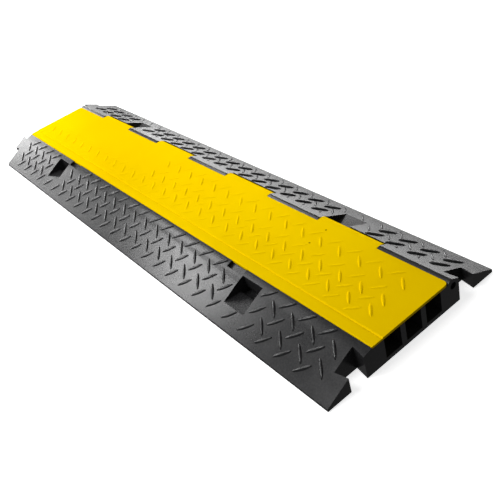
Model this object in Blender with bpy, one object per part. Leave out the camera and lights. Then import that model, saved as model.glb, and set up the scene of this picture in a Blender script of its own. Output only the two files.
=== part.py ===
"""Floor cord cover: a rubber ramp body with three cable channels and a hinged lid.

Metres, +Z up. X runs along the cover, and its far end carries the two tongues.
The cover lies on the floor, z = 0, with the lid's hinge along its +Y side.
"""

import math

import bmesh
import bpy
from mathutils import Vector

MM = 0.001

# Body, in millimetres
BODY_LENGTH = 1000.0
BODY_WIDTH = 280.0
EDGE_HEIGHT = 4.5
RAMP_SLOPE = 0.5
SHELF_Z = 35.7
CREST_Y = -88.0
CREST_RADIUS = 75.0
SEAT_Y = -65.6

# Cable channels
CHANNEL_COUNT = 3
CHANNEL_WIDTH = 26.0
DIVIDER_WIDTH = 8.0
CHANNEL_FLOOR = 6.0
DIVIDER_TOP = 35.4

# Hinge, along X
AXIS_Y = 69.0
AXIS_Z = 29.5
BODY_KNUCKLE_RADIUS = 11.4
LID_RELIEF_RADIUS = 11.8
LID_KNUCKLE_RADIUS = 10.0
BODY_RELIEF_RADIUS = 12.4
BORE_RADIUS = 4.8
ROD_RADIUS = 4.3
ROD_RECESS = 6.0
SEGMENT_COUNT = 9
KNUCKLE_SIDE_GAP = 0.5

# Lid
LID_FRONT_Y = -65.0
LID_UNDER_Z = 36.0
LID_TOP_Z = 39.5
BAND_Y = -49.0
BAND_DROP = 0.7
BAND_GROOVE_DEPTH = 0.45
BAND_GROOVE_HALF_WIDTH = 1.6
LID_CHAMFER = 0.5
LID_FRONT_CHAMFER = 1.0
LID_BACK_CORNER = 7.0
LID_FRONT_CORNER = 1.5
LID_HOLLOW_START = 200.0

# Tongues on one end and the notches that take them on the other
TONGUE_Y = 91.5
TONGUE_NECK = 23.4
TONGUE_TIP = 28.0
TONGUE_LENGTH = 16.0
NOTCH_MOUTH = 25.0
NOTCH_INNER = 32.0
NOTCH_DEPTH = 19.5

# Grip pockets
POCKET_X = 300.0
POCKET_LENGTH = 42.0
POCKET_OUTER_Y = 114.0
POCKET_INNER_Y = 75.0
POCKET_BENCH_Y = 86.0
POCKET_BENCH_Z = 15.9
POCKET_FLOOR_Y = 82.0
POCKET_FLOOR_Z = 9.0
LIP_Z = 18.5
UNDERCUT_Y = 66.0

# Finger notches under the lid's front edge
FINGER_X = 260.0
FINGER_LENGTH = 34.0
FINGER_OUTER_Y = 76.0
FINGER_INNER_Y = 61.0
FINGER_OUTER_Z = 30.0
FINGER_INNER_Z = 34.0
FINGER_FLAP_DROP = 1.5
FINGER_FLAP_THICKNESS = 2.5
FINGER_FLAP_GAP = 0.5

# The tongues stick out at -X, so the body is set forward to centre the whole
SHIFT_X = TONGUE_LENGTH / 2
PAST = 5.0
WELL_PAST = 15.0

# How finely the rounds are drawn
ROUND_SIDES = 32
KNUCKLE_STEPS = 8
LID_KNUCKLE_STEPS = 24
CREST_STEPS = 8
CORNER_STEPS = 8
SHARP_ANGLE = 14.0

# Finishes: linear RGB and roughness
RUBBER_COLOR = (0.02, 0.02, 0.021)
RUBBER_ROUGHNESS = 0.4
LID_COLOR = (0.9, 0.52, 0.0)
LID_ROUGHNESS = 0.5
ROD_COLOR = (0.35, 0.35, 0.36)
ROD_ROUGHNESS = 0.35


def ramp_z(y):
    """Height of the ramp's surface at a distance y from the middle."""
    return EDGE_HEIGHT + RAMP_SLOPE * (BODY_WIDTH / 2 - abs(y))


def arc(radius, start, end, steps):
    """Points on a circle about the hinge axis, from one angle to another, in degrees."""
    points = []
    for step in range(steps + 1):
        angle = math.radians(start + (end - start) * step / steps)
        points.append((AXIS_Y + radius * math.cos(angle), AXIS_Z + radius * math.sin(angle)))
    return points


def angle_at_height(radius, z):
    """Angle, on the lid's side of the hinge, where a circle about the axis is at z."""
    return 180.0 - math.degrees(math.asin((z - AXIS_Z) / radius))


def material(name, color, roughness, metallic=0.0):
    """A Principled material."""
    made = bpy.data.materials.new(name)
    made.use_nodes = True
    shader = made.node_tree.nodes["Principled BSDF"]
    shader.inputs["Base Color"].default_value = (*color, 1.0)
    shader.inputs["Roughness"].default_value = roughness
    shader.inputs["Metallic"].default_value = metallic
    return made


def new_object(name, bm, finish=None):
    """Put a bmesh in the scene as an object with faces pointing out."""
    bmesh.ops.recalc_face_normals(bm, faces=bm.faces)
    mesh = bpy.data.meshes.new(name)
    bm.to_mesh(mesh)
    bm.free()
    if finish:
        mesh.materials.append(finish)
    made = bpy.data.objects.new(name, mesh)
    bpy.context.scene.collection.objects.link(made)
    return made


def extrude_outline(name, points, travel, finish=None):
    """Close an outline of 3-D points, in millimetres, and extrude it along travel."""
    bm = bmesh.new()
    corners = [bm.verts.new(Vector(point) * MM) for point in points]
    face = bm.faces.new(corners)
    swept = bmesh.ops.extrude_face_region(bm, geom=[face])
    moved = [item for item in swept["geom"] if isinstance(item, bmesh.types.BMVert)]
    bmesh.ops.translate(bm, verts=moved, vec=Vector(travel) * MM)
    return new_object(name, bm, finish)


def along_x(name, section, x_low, x_high, finish=None):
    """Extrude a (y, z) section along X."""
    points = [(x_low + SHIFT_X, y, z) for y, z in section]
    return extrude_outline(name, points, (x_high - x_low, 0, 0), finish)


def upright(name, plan, z_low, z_high, finish=None):
    """Extrude an (x, y) plan along Z."""
    points = [(x + SHIFT_X, y, z_low) for x, y in plan]
    return extrude_outline(name, points, (0, 0, z_high - z_low), finish)


def boolean(target, tool, operation):
    """Cut, keep or join a hidden tool on a target."""
    tool.hide_render = True
    tool.display_type = 'WIRE'
    modifier = target.modifiers.new(tool.name, 'BOOLEAN')
    modifier.object = tool
    modifier.operation = operation
    modifier.solver = 'EXACT'


def segment_ends(index):
    """The ends in X of one of the hinge's equal segments."""
    length = BODY_LENGTH / SEGMENT_COUNT
    return -BODY_LENGTH / 2 + index * length, -BODY_LENGTH / 2 + (index + 1) * length


def lid_segments():
    """The segments whose knuckle is on the lid."""
    return range(1, SEGMENT_COUNT, 2)


def body_segments():
    """The segments whose knuckle is on the body."""
    return range(0, SEGMENT_COUNT, 2)


def crest():
    """The front ramp's rounded top, from the step in front of the lid down to the ramp."""
    ramp_angle = math.atan(RAMP_SLOPE)
    y_centre = CREST_Y + CREST_RADIUS * math.sin(ramp_angle)
    z_centre = ramp_z(CREST_Y) - CREST_RADIUS * math.cos(ramp_angle)
    seat_angle = math.asin((y_centre - SEAT_Y) / CREST_RADIUS)
    points = []
    for step in range(CREST_STEPS + 1):
        angle = seat_angle + (ramp_angle - seat_angle) * step / CREST_STEPS
        points.append((y_centre - CREST_RADIUS * math.sin(angle),
                       z_centre + CREST_RADIUS * math.cos(angle)))
    return points


def ramp_outline(side):
    """The (y, z) section of one ramp alone, down to the floor."""
    half = BODY_WIDTH / 2
    if side < 0:
        return [(SEAT_Y, 0), *crest(), (-half, EDGE_HEIGHT), (-half, 0)]
    return [(-SEAT_Y, 0), (-SEAT_Y, ramp_z(SEAT_Y)), (half, EDGE_HEIGHT), (half, 0)]


def body_section():
    """The body's (y, z) section, with a knuckle."""
    half = BODY_WIDTH / 2
    section = [(-half, 0), (half, 0), (half, EDGE_HEIGHT)]
    # The back ramp runs up until it meets the knuckle's round
    reach = (ramp_z(AXIS_Y) - AXIS_Z) / math.hypot(1, RAMP_SLOPE)
    normal = math.degrees(math.atan2(1, RAMP_SLOPE))
    ramp_meets = normal + math.degrees(math.acos(reach / BODY_KNUCKLE_RADIUS))
    shelf_meets = angle_at_height(BODY_KNUCKLE_RADIUS, SHELF_Z)
    section += arc(BODY_KNUCKLE_RADIUS, ramp_meets, shelf_meets, KNUCKLE_STEPS)
    # The channels, from the hinge side to the front
    pitch = CHANNEL_WIDTH + DIVIDER_WIDTH
    for index in range(CHANNEL_COUNT):
        middle = (CHANNEL_COUNT - 1) / 2 * pitch - index * pitch
        left = middle - CHANNEL_WIDTH / 2
        right = middle + CHANNEL_WIDTH / 2
        right_top = SHELF_Z if index == 0 else DIVIDER_TOP
        left_top = SHELF_Z if index == CHANNEL_COUNT - 1 else DIVIDER_TOP
        section += [(right, right_top), (right, CHANNEL_FLOOR)]
        section += [(left, CHANNEL_FLOOR), (left, left_top)]
    section.append((SEAT_Y, SHELF_Z))
    section += crest()
    section.append((-half, EDGE_HEIGHT))
    return section


def hinge_bore(name):
    """The cutter of the rod's bore."""
    half = BODY_LENGTH / 2 + PAST
    return along_x(name, arc(BORE_RADIUS, 0, 360, ROUND_SIDES)[:-1], -half, half)


def cut_lid_knuckle_relief(body, index):
    """Clear the body where the lid's knuckle turns."""
    low, high = segment_ends(index)
    round_section = arc(BODY_RELIEF_RADIUS, 0, 360, ROUND_SIDES)[:-1]
    boolean(body, along_x(f"relief_cutter_{index}", round_section, low - KNUCKLE_SIDE_GAP,
                          high + KNUCKLE_SIDE_GAP), 'DIFFERENCE')


def cut_grip_pocket(body, side, x_middle):
    """Sink a grip pocket into a ramp, with a bench and then a deep part for the fingers.

    The front one's inner wall is hooked below its lip.
    """
    top = SHELF_Z + WELL_PAST
    section = [
        (POCKET_OUTER_Y, ramp_z(POCKET_OUTER_Y)),
        (POCKET_OUTER_Y, top),
        (POCKET_INNER_Y, top),
    ]
    if side < 0:
        section += [(POCKET_INNER_Y, LIP_Z), (UNDERCUT_Y, LIP_Z), (UNDERCUT_Y, POCKET_FLOOR_Z)]
    else:
        section.append((POCKET_INNER_Y, POCKET_FLOOR_Z))
    section += [(POCKET_FLOOR_Y, POCKET_FLOOR_Z), (POCKET_BENCH_Y, POCKET_BENCH_Z)]
    mirrored = [(side * y, z) for y, z in section]
    name = f"pocket_cutter_{'back' if side > 0 else 'front'}_{'near' if x_middle > 0 else 'far'}"
    cutter = along_x(name, mirrored, x_middle - POCKET_LENGTH / 2, x_middle + POCKET_LENGTH / 2)
    boolean(body, cutter, 'DIFFERENCE')


def cut_notch(body, side):
    """Cut a connector notch through a ramp at the near end."""
    end = BODY_LENGTH / 2
    plan = [
        (end + PAST, side * (TONGUE_Y - NOTCH_MOUTH / 2)),
        (end, side * (TONGUE_Y - NOTCH_MOUTH / 2)),
        (end - NOTCH_DEPTH, side * (TONGUE_Y - NOTCH_INNER / 2)),
        (end - NOTCH_DEPTH, side * (TONGUE_Y + NOTCH_INNER / 2)),
        (end, side * (TONGUE_Y + NOTCH_MOUTH / 2)),
        (end + PAST, side * (TONGUE_Y + NOTCH_MOUTH / 2)),
    ]
    name = f"notch_cutter_{'back' if side > 0 else 'front'}"
    boolean(body, upright(name, plan, -PAST, BODY_WIDTH / 2), 'DIFFERENCE')


def add_tongue(body, side):
    """Join a flared tongue, cut to the ramp's shape, to the far end."""
    end = -BODY_LENGTH / 2
    neck, tip = TONGUE_NECK / 2, TONGUE_TIP / 2
    inside = end + WELL_PAST
    plan = [
        (inside, side * (TONGUE_Y - neck)),
        (end, side * (TONGUE_Y - neck)),
        (end - TONGUE_LENGTH, side * (TONGUE_Y - tip)),
        (end - TONGUE_LENGTH, side * (TONGUE_Y + tip)),
        (end, side * (TONGUE_Y + neck)),
        (inside, side * (TONGUE_Y + neck)),
    ]
    place = 'back' if side > 0 else 'front'
    tongue = upright(f"tongue_{place}", plan, 0, BODY_WIDTH / 2)
    ramp = along_x(f"tongue_ramp_tool_{place}", ramp_outline(side),
                   end - TONGUE_LENGTH - PAST, inside + PAST)
    boolean(tongue, ramp, 'INTERSECT')
    boolean(body, tongue, 'UNION')


def cut_finger_notch(body, x_middle):
    """Cut a sloping notch into the ramp's top and under the lid's front edge, for a finger."""
    section = [
        (-FINGER_OUTER_Y, SHELF_Z + PAST),
        (-FINGER_OUTER_Y, FINGER_OUTER_Z),
        (-FINGER_INNER_Y, FINGER_INNER_Z),
        (-FINGER_INNER_Y, SHELF_Z + PAST),
    ]
    name = f"finger_cutter_{'near' if x_middle > 0 else 'far'}"
    cutter = along_x(name, section, x_middle - FINGER_LENGTH / 2, x_middle + FINGER_LENGTH / 2)
    boolean(body, cutter, 'DIFFERENCE')


def make_ramp_base(finish):
    """The moulded rubber body."""
    body = along_x("ramp_base", body_section(), -BODY_LENGTH / 2, BODY_LENGTH / 2, finish)
    for side in (-1, 1):
        add_tongue(body, side)
        cut_notch(body, side)
    for index in lid_segments():
        cut_lid_knuckle_relief(body, index)
    boolean(body, hinge_bore("body_bore_cutter"), 'DIFFERENCE')
    for x_middle in (-POCKET_X, POCKET_X):
        for side in (-1, 1):
            cut_grip_pocket(body, side, x_middle)
    for x_middle in (-FINGER_X, FINGER_X):
        cut_finger_notch(body, x_middle)
    return body


def lid_section():
    """The lid's (y, z) section, with a knuckle."""
    band_z = LID_TOP_Z - BAND_DROP
    section = [
        (LID_FRONT_Y, LID_UNDER_Z),
        (LID_FRONT_Y, band_z - LID_FRONT_CHAMFER),
        (LID_FRONT_Y + LID_FRONT_CHAMFER, band_z),
        (BAND_Y - BAND_GROOVE_HALF_WIDTH, band_z),
        (BAND_Y, band_z - BAND_GROOVE_DEPTH),
        (BAND_Y + BAND_GROOVE_HALF_WIDTH, LID_TOP_Z),
    ]
    under_meets = angle_at_height(LID_KNUCKLE_RADIUS, LID_UNDER_Z)
    return section + arc(LID_KNUCKLE_RADIUS, 90, under_meets - 360, LID_KNUCKLE_STEPS)


def cut_body_knuckle_relief(lid, index):
    """Cut the lid back, hollow and chamfered, where the body's knuckle stands."""
    low, high = segment_ends(index)
    chamfer_z = LID_TOP_Z - LID_CHAMFER
    hollow_end = angle_at_height(LID_RELIEF_RADIUS, chamfer_z)
    hollow = arc(LID_RELIEF_RADIUS, LID_HOLLOW_START, hollow_end, KNUCKLE_STEPS)
    corner_y = hollow[-1][0]
    beyond = AXIS_Y + WELL_PAST
    section = hollow + [
        (corner_y - 2 * LID_CHAMFER, LID_TOP_Z + LID_CHAMFER),
        (beyond, LID_TOP_Z + LID_CHAMFER),
        (beyond, AXIS_Z - WELL_PAST),
        (hollow[0][0], AXIS_Z - WELL_PAST),
    ]
    low -= PAST if index == 0 else KNUCKLE_SIDE_GAP
    high += PAST if index == SEGMENT_COUNT - 1 else KNUCKLE_SIDE_GAP
    boolean(lid, along_x(f"lid_relief_cutter_{index}", section, low, high), 'DIFFERENCE')


def corner_arc(x_centre, y_centre, radius, start, end):
    """Points of a rounded corner in plan, between two angles in degrees."""
    points = []
    for step in range(CORNER_STEPS + 1):
        angle = math.radians(start + (end - start) * step / CORNER_STEPS)
        points.append((x_centre + radius * math.cos(angle), y_centre + radius * math.sin(angle)))
    return points


def lid_plan():
    """The lid's outline in plan, with its rounded corners."""
    end = BODY_LENGTH / 2
    back = angle_at_height(LID_RELIEF_RADIUS, LID_TOP_Z - LID_CHAMFER)
    back_y = AXIS_Y + LID_RELIEF_RADIUS * math.cos(math.radians(back))
    front, rear = LID_FRONT_CORNER, LID_BACK_CORNER
    low, high = segment_ends(0)[1], segment_ends(SEGMENT_COUNT - 1)[0]
    plan = corner_arc(-end + front, LID_FRONT_Y + front, front, 180, 270)
    plan += corner_arc(end - front, LID_FRONT_Y + front, front, 270, 360)
    plan += corner_arc(end - rear, back_y - rear, rear, 0, 90)
    plan += [(high + PAST, back_y), (high + PAST, AXIS_Y + WELL_PAST)]
    plan += [(low - PAST, AXIS_Y + WELL_PAST), (low - PAST, back_y)]
    plan += corner_arc(-end + rear, back_y - rear, rear, 90, 180)
    return plan


def add_finger_flap(lid, x_middle):
    """Join a flap that hangs from the lid's front edge into a finger notch."""
    length = FINGER_LENGTH - 2 * FINGER_FLAP_GAP
    section = [
        (LID_FRONT_Y, LID_UNDER_Z + LID_CHAMFER),
        (LID_FRONT_Y, LID_UNDER_Z - FINGER_FLAP_DROP),
        (LID_FRONT_Y + FINGER_FLAP_THICKNESS, LID_UNDER_Z - FINGER_FLAP_DROP),
        (LID_FRONT_Y + FINGER_FLAP_THICKNESS, LID_UNDER_Z + LID_CHAMFER),
    ]
    name = f"finger_flap_{'near' if x_middle > 0 else 'far'}"
    flap = along_x(name, section, x_middle - length / 2, x_middle + length / 2)
    boolean(lid, flap, 'UNION')


def make_hinged_lid(finish):
    """The lid, a long plate with hinge knuckles along its back edge."""
    lid = along_x("hinged_lid", lid_section(), -BODY_LENGTH / 2, BODY_LENGTH / 2, finish)
    for x_middle in (-FINGER_X, FINGER_X):
        add_finger_flap(lid, x_middle)
    for index in body_segments():
        cut_body_knuckle_relief(lid, index)
    plan = upright("lid_plan_tool", lid_plan(), 0, BODY_WIDTH / 2)
    boolean(lid, plan, 'INTERSECT')
    boolean(lid, hinge_bore("lid_bore_cutter"), 'DIFFERENCE')
    return lid


def make_hinge_rod(finish):
    """The rod through the knuckles, set a little inside both ends."""
    half = BODY_LENGTH / 2 - ROD_RECESS
    section = arc(ROD_RADIUS, 0, 360, ROUND_SIDES)[:-1]
    return along_x("hinge_rod", section, -half, half, finish)


def make_cord_cover():
    """The whole cover."""
    rubber = material("black_rubber", RUBBER_COLOR, RUBBER_ROUGHNESS)
    yellow = material("yellow_plastic", LID_COLOR, LID_ROUGHNESS)
    steel = material("rod_steel", ROD_COLOR, ROD_ROUGHNESS, metallic=1.0)
    pieces = [make_ramp_base(rubber), make_hinged_lid(yellow), make_hinge_rod(steel)]
    for piece in pieces:
        piece.data.shade_smooth()
        piece.data.set_sharp_from_angle(angle=math.radians(SHARP_ANGLE))


for existing in list(bpy.data.objects):
    bpy.data.objects.remove(existing)
make_cord_cover()
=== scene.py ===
import math

import bpy
from mathutils import Matrix, Vector


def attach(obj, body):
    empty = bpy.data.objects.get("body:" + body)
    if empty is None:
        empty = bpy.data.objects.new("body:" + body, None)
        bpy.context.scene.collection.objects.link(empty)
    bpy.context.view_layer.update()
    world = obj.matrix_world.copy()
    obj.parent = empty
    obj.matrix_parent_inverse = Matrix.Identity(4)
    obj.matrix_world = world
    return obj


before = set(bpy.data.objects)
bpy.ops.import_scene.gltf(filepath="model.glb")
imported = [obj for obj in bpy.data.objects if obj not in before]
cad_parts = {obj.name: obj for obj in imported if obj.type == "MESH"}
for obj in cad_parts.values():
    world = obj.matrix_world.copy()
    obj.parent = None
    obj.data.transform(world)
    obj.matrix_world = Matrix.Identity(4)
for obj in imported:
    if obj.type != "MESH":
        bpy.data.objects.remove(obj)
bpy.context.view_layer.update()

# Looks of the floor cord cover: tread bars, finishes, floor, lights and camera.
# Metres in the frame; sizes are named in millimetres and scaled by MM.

MM = 0.001

# The body, in millimetres, as the frame has it
BODY_LENGTH = 1000.0
HALF_WIDTH = 140.0
BODY_MIDDLE_X = 8.0
EDGE_HEIGHT = 4.5
RAMP_SLOPE = 0.5
CREST_Y = -88.0
CREST_RADIUS = 75.0
LID_TOP_Z = 39.5
SEGMENT_COUNT = 9

# How far back the lid's tabs and its back edge reach as it swings up
TAB_RELIEF_Y = 81.0

# What the tread leaves free on the ramps, about x = +-middle
POCKET_X = 300.0
POCKET_HALF_LENGTH = 21.0
POCKET_OUTER_Y = 114.0
FINGER_X = 260.0
FINGER_HALF_LENGTH = 17.0
FINGER_OUTER_Y = 76.0

# Tread of the ramps; -1 is the front ramp, 1 the back one, and a size is a bar's width
# and height
RAMP_PITCH = 35.6
RAMP_LONG_X = 463.5
RAMP_LONG_ROWS = {-1: (88.5, 112.0), 1: (91.0, 114.5)}
RAMP_CROSS_X = 442.5
RAMP_CROSS_ROWS = {-1: (76.5, 99.5, 123.0), 1: (79.0, 101.5, 124.5)}
RAMP_BAR_SPAN = (19.5, 17.5)
RAMP_LONG_SIZE = {-1: (4.8, 2.0), 1: (5.6, 2.7)}
RAMP_CROSS_SIZE = {-1: (4.8, 2.0), 1: (3.2, 1.6)}
RAMP_BAR_ROUNDNESS = {-1: 1.4, 1: 1.0}

# Tread of the lid
LID_PITCH = 35.5
LID_LONG_X = 460.0
LID_LONG_ROWS = (30.5, -3.5, -24.5)
LID_CROSS_X = 441.0
LID_CROSS_ROWS = (41.0, 9.0, -13.0, -35.0)
LID_BAR_SPAN = (17.5, 17.0)
LID_LONG_SIZE = (4.4, 1.05)
LID_CROSS_SIZE = (4.4, 0.28)
LID_BAR_ROUNDNESS = 1.6
LID_PLAIN_X = -85.0
LID_PLAIN_Y = -10.0

# Two small brown marks on the lid
LID_MARKS = ((305.5, 52.5), (307.0, 20.5))
LID_MARK_RADIUS = 0.9

# A bar's mesh: stations along it, sides over its top, and the depth of its foot
BAR_STATIONS = 14
BAR_SIDES = 8
BAR_FOOT = 0.6

# A bar narrows and sinks towards its ends: the larger the taper, the farther in it starts
BAR_OUTLINE_TAPER = 0.7
BAR_CREST_TAPER = 0.8
BAR_CREST_FLATNESS = 4

# Moulded edge radius of each CAD node, and the angle in degrees from which an edge has one
EDGE_RADIUS = {"ramp_base": 0.8, "hinged_lid": 0.4, "hinge_rod": 0.3}
EDGE_SEGMENTS = 2
EDGE_ANGLE = 25.0
FLAT_ANGLE = 0.5
WELD_REACH = 0.01

# Finishes: linear colours, and the lowest and highest roughness
RUBBER_COLOURS = ((0.014, 0.014, 0.015), (0.02, 0.02, 0.021))
RUBBER_SPECKLE = (0.03, 0.03, 0.031)
RUBBER_ROUGHNESS = (0.22, 0.25)
YELLOW_COLOURS = ((0.92, 0.605, 0.0), (0.94, 0.63, 0.0))
YELLOW_ROUGHNESS = (0.28, 0.34)
LID_MARK_COLOUR = (0.3, 0.15, 0.0)
STEEL_COLOURS = ((0.42, 0.42, 0.43), (0.3, 0.29, 0.28))
STEEL_ROUGHNESS = (0.28, 0.42)
WHITE = (1.0, 1.0, 1.0, 1.0)

# The floor: half its side in metres, and how far it lies below the cover
FLOOR_HALF_SIZE = 6.0
FLOOR_DROP = 0.2

# Soft lights round the cover: name, elevation, azimuth, size in metres, watts; the
# distance is in metres, and azimuth 0 is beyond the far end, 90 behind the cover
LIGHT_DISTANCE = 2.2
ROUND_LIGHTS = (
    ("low_far_front", 5.0, -12.0, (0.62, 0.34), 5.5),
    ("low_far_back", 5.0, 12.0, (0.62, 0.34), 1.5),
    ("rim", 21.0, -40.0, (0.5, 0.3), 6.0),
    ("far_front", 20.0, -12.0, (0.62, 0.5), 2.2),
    ("far_back", 20.0, 45.0, (0.62, 0.5), 3.8),
    ("patch", 39.0, -27.0, (0.4, 0.36), 5.6),
    ("crest", 43.0, -7.0, (0.4, 0.36), 4.0),
    ("high_far", 54.0, -10.0, (0.8, 0.6), 2.5),
    ("back_key", 38.0, 44.0, (0.5, 0.5), 2.5),
    ("front_left", 37.0, -67.0, (0.6, 0.5), 10.0),
    ("front_key", 60.0, -85.0, (0.8, 0.8), 17.0),
)

# Lights at a place of their own: name, place, target, size, watts; metres
PLACED_LIGHTS = (
    ("near_low", (-1.2, 0.0, 0.25), (0.0, 0.0, 0.0), (0.5, 0.3), 2.0),
    ("near_back", (-1.0, 0.6, 0.7), (0.0, 0.0, 0.0), (0.5, 0.3), 2.5),
    ("back_wall", (-1.1, 1.7, 0.22), (-1.1, 0.0, 0.0), (3.2, 0.4), 25.0),
    ("far_wall", (-2.3, 0.5, 0.22), (0.0, 0.0, 0.0), (1.8, 0.4), 6.5),
)
SURROUND = 0.115

# The photograph's camera, solved from the outline: the directions of its picture, its
# place in metres, its sensor and lens in millimetres, and its shift
CAMERA_RIGHT = (0.58786366, 0.76857329, -0.25241118)
CAMERA_DOWN = (0.36780315, -0.53183986, -0.76280221)
CAMERA_FORWARD = (-0.72051173, 0.35558607, -0.59533301)
CAMERA_PLACE = (0.898054, -0.382964, 0.572178)
CAMERA_SENSOR = 36.0
CAMERA_LENS = 47.48
CAMERA_SHIFT = (0.0334, 0.0195)


def ramp_surface(y):
    """Height of a ramp's surface at y, in millimetres."""
    slope_z = EDGE_HEIGHT + RAMP_SLOPE * (HALF_WIDTH - abs(y))
    if not CREST_Y < y < 0:
        return slope_z
    # The front ramp is rounded at its top
    ramp_angle = math.atan(RAMP_SLOPE)
    start_z = EDGE_HEIGHT + RAMP_SLOPE * (HALF_WIDTH + CREST_Y)
    y_centre = CREST_Y + CREST_RADIUS * math.sin(ramp_angle)
    z_centre = start_z - CREST_RADIUS * math.cos(ramp_angle)
    return z_centre + math.sqrt(CREST_RADIUS ** 2 - (y - y_centre) ** 2)


def lid_surface(y):
    """Height of the lid's top, in millimetres: the same at every y."""
    return LID_TOP_Z


def overlaps(low_a, high_a, low_b, high_b):
    """Whether two ranges overlap."""
    return low_a < high_b and low_b < high_a


def ramp_is_free(x, y, half_x, half_y):
    """Whether a bar at (x, y) stays clear of the pockets, notches and lid tabs."""
    inner_y = abs(y) - half_y
    low_x, high_x = abs(x) - half_x, abs(x) + half_x
    if inner_y < POCKET_OUTER_Y and overlaps(low_x, high_x, POCKET_X - POCKET_HALF_LENGTH,
                                             POCKET_X + POCKET_HALF_LENGTH):
        return False
    if y < 0:
        return inner_y > FINGER_OUTER_Y or not overlaps(
            low_x, high_x, FINGER_X - FINGER_HALF_LENGTH, FINGER_X + FINGER_HALF_LENGTH)
    segment = BODY_LENGTH / SEGMENT_COUNT
    tab_starts = [index * segment - BODY_LENGTH / 2 for index in range(1, SEGMENT_COUNT, 2)]
    return inner_y > TAB_RELIEF_Y or not any(
        overlaps(x - half_x, x + half_x, start, start + segment) for start in tab_starts)


def tread_bar(verts, faces, bar, roundness, surface):
    """Add one closed, lens-shaped bar that lies on a surface, its foot a little below it.

    The bar is its middle, half span and size; roundness rounds its flanks off.
    """
    middle, half_span, (width, height) = bar
    length = math.hypot(*half_span)
    across = (-half_span[1] / length, half_span[0] / length)
    first = len(verts)

    def point(along, side, lift):
        x = middle[0] + half_span[0] * along + across[0] * side
        y = middle[1] + half_span[1] * along + across[1] * side
        return ((x + BODY_MIDDLE_X) * MM, y * MM, (surface(y) + lift) * MM)

    ring_size = BAR_SIDES + 3
    verts.append(point(-1.0, 0.0, -BAR_FOOT))
    for station in range(1, BAR_STATIONS):
        along = 2.0 * station / BAR_STATIONS - 1.0
        half_width = width / 2 * (1.0 - along ** 2) ** BAR_OUTLINE_TAPER
        crest = height * (1.0 - along ** BAR_CREST_FLATNESS) ** BAR_CREST_TAPER
        verts.append(point(along, -half_width, -BAR_FOOT))
        for side in range(BAR_SIDES + 1):
            angle = math.pi * side / BAR_SIDES
            verts.append(point(along, -half_width * math.cos(angle),
                               crest * math.sin(angle) ** roundness))
        verts.append(point(along, half_width, -BAR_FOOT))
    verts.append(point(1.0, 0.0, -BAR_FOOT))
    last = len(verts) - 1
    rings = BAR_STATIONS - 1
    for side in range(ring_size):
        after = (side + 1) % ring_size
        faces.append((first, first + 1 + side, first + 1 + after))
        for ring in range(rings - 1):
            base = first + 1 + ring * ring_size
            faces.append((base + side, base + ring_size + side,
                          base + ring_size + after, base + after))
        base = first + 1 + (rings - 1) * ring_size
        faces.append((base + side, last, base + after))


def tread(name, bars, roundness, surface, finish):
    """One object that holds a field of tread bars: (middle, half span, size) each."""
    verts, faces = [], []
    for bar in bars:
        tread_bar(verts, faces, bar, roundness, surface)
    mesh = bpy.data.meshes.new(name)
    mesh.from_pydata(verts, [], faces)
    mesh.materials.append(finish)
    mesh.shade_smooth()
    made = bpy.data.objects.new(name, mesh)
    bpy.context.scene.collection.objects.link(made)
    return made


def columns(start, pitch):
    """The x of each bar of a row, from one end to its mirror place."""
    count = int(2 * start / pitch + 0.5) + 1
    return [start - pitch * index for index in range(count)]


def clear_of_lid(middle, half_span, size):
    """A bar of a ramp, cut off at its inner end where the opened lid swings past it."""
    (x, y), (half_x, half_y) = middle, half_span
    kept = (y + abs(half_y) - TAB_RELIEF_Y) / (2 * abs(half_y))
    if y < 0 or kept >= 1:
        return middle, half_span, size
    lost_x, lost_y = half_x * (1 - kept), abs(half_y) * (1 - kept)
    moved = (x + math.copysign(lost_x, half_y), y + lost_y)
    return moved, (half_x * kept, half_y * kept), size


def ramp_bars(side):
    """(middle, half span, size) of each bar of a ramp: side is -1 in front, 1 behind."""
    half_x, half_y = RAMP_BAR_SPAN[0] / 2, RAMP_BAR_SPAN[1] / 2
    bars = []
    for start, rows, lean, size in (
            (RAMP_LONG_X, RAMP_LONG_ROWS[side], side, RAMP_LONG_SIZE[side]),
            (RAMP_CROSS_X, RAMP_CROSS_ROWS[side], -side, RAMP_CROSS_SIZE[side])):
        for x in columns(start, RAMP_PITCH):
            for row in rows:
                if ramp_is_free(x, side * row, half_x, half_y):
                    bars.append(clear_of_lid((x, side * row), (half_x, lean * half_y), size))
    return bars


def lid_bars():
    """The bars of the lid: the crossing ones stand out less, and its far back part is plain."""
    half_x, half_y = LID_BAR_SPAN[0] / 2, LID_BAR_SPAN[1] / 2
    bars = []
    for start, rows, lean, size in ((LID_LONG_X, LID_LONG_ROWS, -1, LID_LONG_SIZE),
                                    (LID_CROSS_X, LID_CROSS_ROWS, 1, LID_CROSS_SIZE)):
        for x in columns(start, LID_PITCH):
            for y in rows:
                if x > LID_PLAIN_X or y < LID_PLAIN_Y:
                    bars.append(((x, y), (half_x, lean * half_y), size))
    return bars


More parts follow.
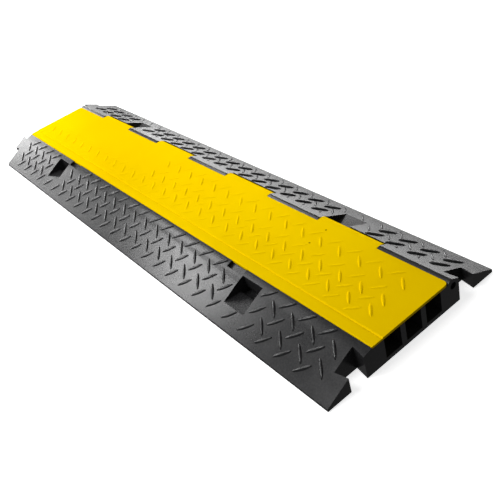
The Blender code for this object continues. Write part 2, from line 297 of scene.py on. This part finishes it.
class Nodes:
    """A material and short ways to add and link its nodes."""

    def __init__(self, name):
        self.material = bpy.data.materials.new(name)
        self.material.use_nodes = True
        self.tree = self.material.node_tree
        self.shader = self.tree.nodes["Principled BSDF"]
        self.place = self.tree.nodes.new("ShaderNodeTexCoord").outputs["Object"]

    def link(self, output, socket):
        """Link an output to an input."""
        self.tree.links.new(output, socket)

    def noise(self, scale, detail):
        """Noise in object space; scale is in features per metre."""
        node = self.tree.nodes.new("ShaderNodeTexNoise")
        node.inputs["Scale"].default_value = scale
        node.inputs["Detail"].default_value = detail
        self.link(self.place, node.inputs["Vector"])
        return node.outputs["Fac"]

    def spread(self, value, low, high, to_low, to_high):
        """A value's range mapped to another, clamped."""
        node = self.tree.nodes.new("ShaderNodeMapRange")
        for socket, number in (("From Min", low), ("From Max", high),
                               ("To Min", to_low), ("To Max", to_high)):
            node.inputs[socket].default_value = number
        self.link(value, node.inputs["Value"])
        return node.outputs["Result"]

    def spot(self, centre, radius):
        """One within a radius of a point, falling to nothing at twice the radius."""
        node = self.tree.nodes.new("ShaderNodeVectorMath")
        node.operation = 'DISTANCE'
        self.link(self.place, node.inputs[0])
        node.inputs[1].default_value = centre
        return self.spread(node.outputs["Value"], radius, 2.0 * radius, 1.0, 0.0)

    def mix(self, factor, first, second):
        """A colour between two, each an output or a linear RGB."""
        node = self.tree.nodes.new("ShaderNodeMix")
        node.data_type = 'RGBA'
        self.link(factor, node.inputs["Factor"])
        colours = [socket for socket in node.inputs if socket.type == 'RGBA']
        for socket, value in zip(colours, (first, second)):
            if isinstance(value, tuple):
                socket.default_value = (*value, 1.0)
            else:
                self.link(value, socket)
        return [socket for socket in node.outputs if socket.type == 'RGBA'][0]

    def bump(self, height, distance, strength, after=None):
        """Bump from a height, on top of another bump."""
        node = self.tree.nodes.new("ShaderNodeBump")
        node.inputs["Distance"].default_value = distance
        node.inputs["Strength"].default_value = strength
        self.link(height, node.inputs["Height"])
        if after:
            self.link(after, node.inputs["Normal"])
        return node.outputs["Normal"]


def rubber_material():
    """Black moulded rubber with a fine grain and a slightly uneven bloom."""
    nodes = Nodes("black_rubber")
    bloom = nodes.spread(nodes.noise(14.0, 3.0), 0.35, 0.65, 0.0, 1.0)
    speckle = nodes.spread(nodes.noise(420.0, 3.0), 0.4, 0.7, 0.0, 1.0)
    ground = nodes.mix(bloom, *RUBBER_COLOURS)
    nodes.link(nodes.mix(speckle, ground, RUBBER_SPECKLE), nodes.shader.inputs["Base Color"])
    nodes.link(nodes.spread(nodes.noise(55.0, 4.0), 0.3, 0.7, *RUBBER_ROUGHNESS),
               nodes.shader.inputs["Roughness"])
    wave = nodes.bump(nodes.noise(22.0, 2.0), 0.004, 0.02)
    nodes.link(nodes.bump(nodes.noise(1300.0, 2.0), 0.0002, 0.04, wave),
               nodes.shader.inputs["Normal"])
    nodes.shader.inputs["Specular IOR Level"].default_value = 0.5
    return nodes.material


def yellow_material():
    """Yellow moulded plastic of the lid, satin, with a faint grain and two small marks.

    The specular level is nothing, because a white gloss would wash the yellow out; the
    little metallic gives a gloss in the lid's own colour.
    """
    nodes = Nodes("yellow_moulding")
    cloud = nodes.spread(nodes.noise(9.0, 3.0), 0.35, 0.65, 0.0, 1.0)
    ground = nodes.mix(cloud, *YELLOW_COLOURS)
    for x, y in LID_MARKS:
        centre = ((x + BODY_MIDDLE_X) * MM, y * MM, LID_TOP_Z * MM)
        ground = nodes.mix(nodes.spot(centre, LID_MARK_RADIUS * MM), ground, LID_MARK_COLOUR)
    nodes.link(ground, nodes.shader.inputs["Base Color"])
    nodes.link(nodes.spread(nodes.noise(60.0, 3.0), 0.3, 0.7, *YELLOW_ROUGHNESS),
               nodes.shader.inputs["Roughness"])
    wave = nodes.bump(nodes.noise(26.0, 2.0), 0.003, 0.05)
    nodes.link(nodes.bump(nodes.noise(1100.0, 2.0), 0.0002, 0.1, wave),
               nodes.shader.inputs["Normal"])
    nodes.shader.inputs["Metallic"].default_value = 0.07
    nodes.shader.inputs["Specular IOR Level"].default_value = 0.0
    nodes.shader.inputs["Specular Tint"].default_value = (1.0, 0.8, 0.0, 1.0)
    return nodes.material


def steel_material():
    """Plain drawn steel of the hinge rod."""
    nodes = Nodes("drawn_steel")
    stain = nodes.spread(nodes.noise(180.0, 3.0), 0.35, 0.7, 0.0, 1.0)
    nodes.link(nodes.mix(stain, *STEEL_COLOURS), nodes.shader.inputs["Base Color"])
    nodes.link(nodes.spread(nodes.noise(300.0, 2.0), 0.3, 0.7, *STEEL_ROUGHNESS),
               nodes.shader.inputs["Roughness"])
    nodes.shader.inputs["Metallic"].default_value = 1.0
    return nodes.material


def floor_material():
    """Plain pale floor, which glows a little so that it stays white up to its edge."""
    nodes = Nodes("pale_floor")
    nodes.shader.inputs["Base Color"].default_value = (0.9, 0.9, 0.9, 1.0)
    nodes.shader.inputs["Roughness"].default_value = 0.9
    nodes.shader.inputs["Specular IOR Level"].default_value = 0.1
    nodes.shader.inputs["Emission Color"].default_value = WHITE
    nodes.shader.inputs["Emission Strength"].default_value = 0.75
    return nodes.material


def dress_node(name, finish):
    """Give a CAD node its finish and its moulded edge radius."""
    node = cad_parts[name]
    node.data.materials.clear()
    node.data.materials.append(finish)
    weld = node.modifiers.new("join_faces", 'WELD')
    weld.merge_threshold = WELD_REACH * MM
    flat = node.modifiers.new("flat_faces", 'DECIMATE')
    flat.decimate_type = 'DISSOLVE'
    flat.angle_limit = math.radians(FLAT_ANGLE)
    soft = node.modifiers.new("edge_radius", 'BEVEL')
    soft.width = EDGE_RADIUS[name] * MM
    soft.segments = EDGE_SEGMENTS
    soft.limit_method = 'ANGLE'
    soft.angle_limit = math.radians(EDGE_ANGLE)
    shade = node.modifiers.new("face_shading", 'WEIGHTED_NORMAL')
    shade.mode = 'FACE_AREA'
    shade.weight = 100
    shade.keep_sharp = True


def area_light(name, place, target, size, power):
    """A rectangular light at a place, facing a target."""
    data = bpy.data.lights.new(name, 'AREA')
    data.shape = 'RECTANGLE'
    data.size, data.size_y = size
    data.energy = power
    made = bpy.data.objects.new(name, data)
    made.location = place
    toward = Vector(target) - Vector(place)
    made.rotation_euler = toward.to_track_quat('-Z', 'Y').to_euler()
    bpy.context.scene.collection.objects.link(made)


def around(elevation, azimuth):
    """The place of a round light, from its two angles in degrees."""
    up, turn = math.radians(elevation), math.radians(azimuth)
    level = LIGHT_DISTANCE * math.cos(up)
    return (-level * math.cos(turn), level * math.sin(turn), LIGHT_DISTANCE * math.sin(up))


def make_floor():
    """A plain floor under the cover; it is not mirrored in it and throws no light on it."""
    size = FLOOR_HALF_SIZE
    mesh = bpy.data.meshes.new("floor")
    corners = [(-size, -size, 0), (size, -size, 0), (size, size, 0), (-size, size, 0)]
    mesh.from_pydata(corners, [], [(0, 1, 2, 3)])
    mesh.materials.append(floor_material())
    floor = bpy.data.objects.new("floor", mesh)
    floor.location.z = -FLOOR_DROP * MM
    floor.visible_glossy = False
    floor.visible_diffuse = False
    bpy.context.scene.collection.objects.link(floor)


def make_lights():
    """Soft lights, most of them beyond the far end, and a dim white surround."""
    world = bpy.context.scene.world or bpy.data.worlds.new("surround")
    bpy.context.scene.world = world
    world.use_nodes = True
    background = world.node_tree.nodes["Background"]
    background.inputs["Color"].default_value = WHITE
    background.inputs["Strength"].default_value = SURROUND
    for name, elevation, azimuth, size, power in ROUND_LIGHTS:
        area_light(name, around(elevation, azimuth), (0.0, 0.0, 0.0), size, power)
    for name, place, target, size, power in PLACED_LIGHTS:
        area_light(name, place, target, size, power)


def make_camera():
    """The photograph's view."""
    data = bpy.data.cameras.new("camera")
    data.sensor_width = CAMERA_SENSOR
    data.lens = CAMERA_LENS
    data.shift_x, data.shift_y = CAMERA_SHIFT
    camera = bpy.data.objects.new("camera", data)
    axes = (Vector(CAMERA_RIGHT), -Vector(CAMERA_DOWN), -Vector(CAMERA_FORWARD))
    turn = Matrix(axes).transposed().to_4x4()
    camera.matrix_world = Matrix.Translation(CAMERA_PLACE) @ turn
    bpy.context.scene.collection.objects.link(camera)
    bpy.context.scene.camera = camera


def dress_cover():
    """Finish the CAD nodes and add the tread."""
    rubber = rubber_material()
    yellow = yellow_material()
    dress_node("ramp_base", rubber)
    dress_node("hinged_lid", yellow)
    dress_node("hinge_rod", steel_material())
    for side, place in ((-1, "front"), (1, "back")):
        bars = tread(f"ramp_tread_{place}", ramp_bars(side), RAMP_BAR_ROUNDNESS[side],
                     ramp_surface, rubber)
        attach(bars, "cover_body")
    bars = tread("lid_tread", lid_bars(), LID_BAR_ROUNDNESS, lid_surface, yellow)
    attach(bars, "lid")


dress_cover()
make_floor()
make_lights()
make_camera()
bpy.context.scene.view_settings.view_transform = 'Standard'
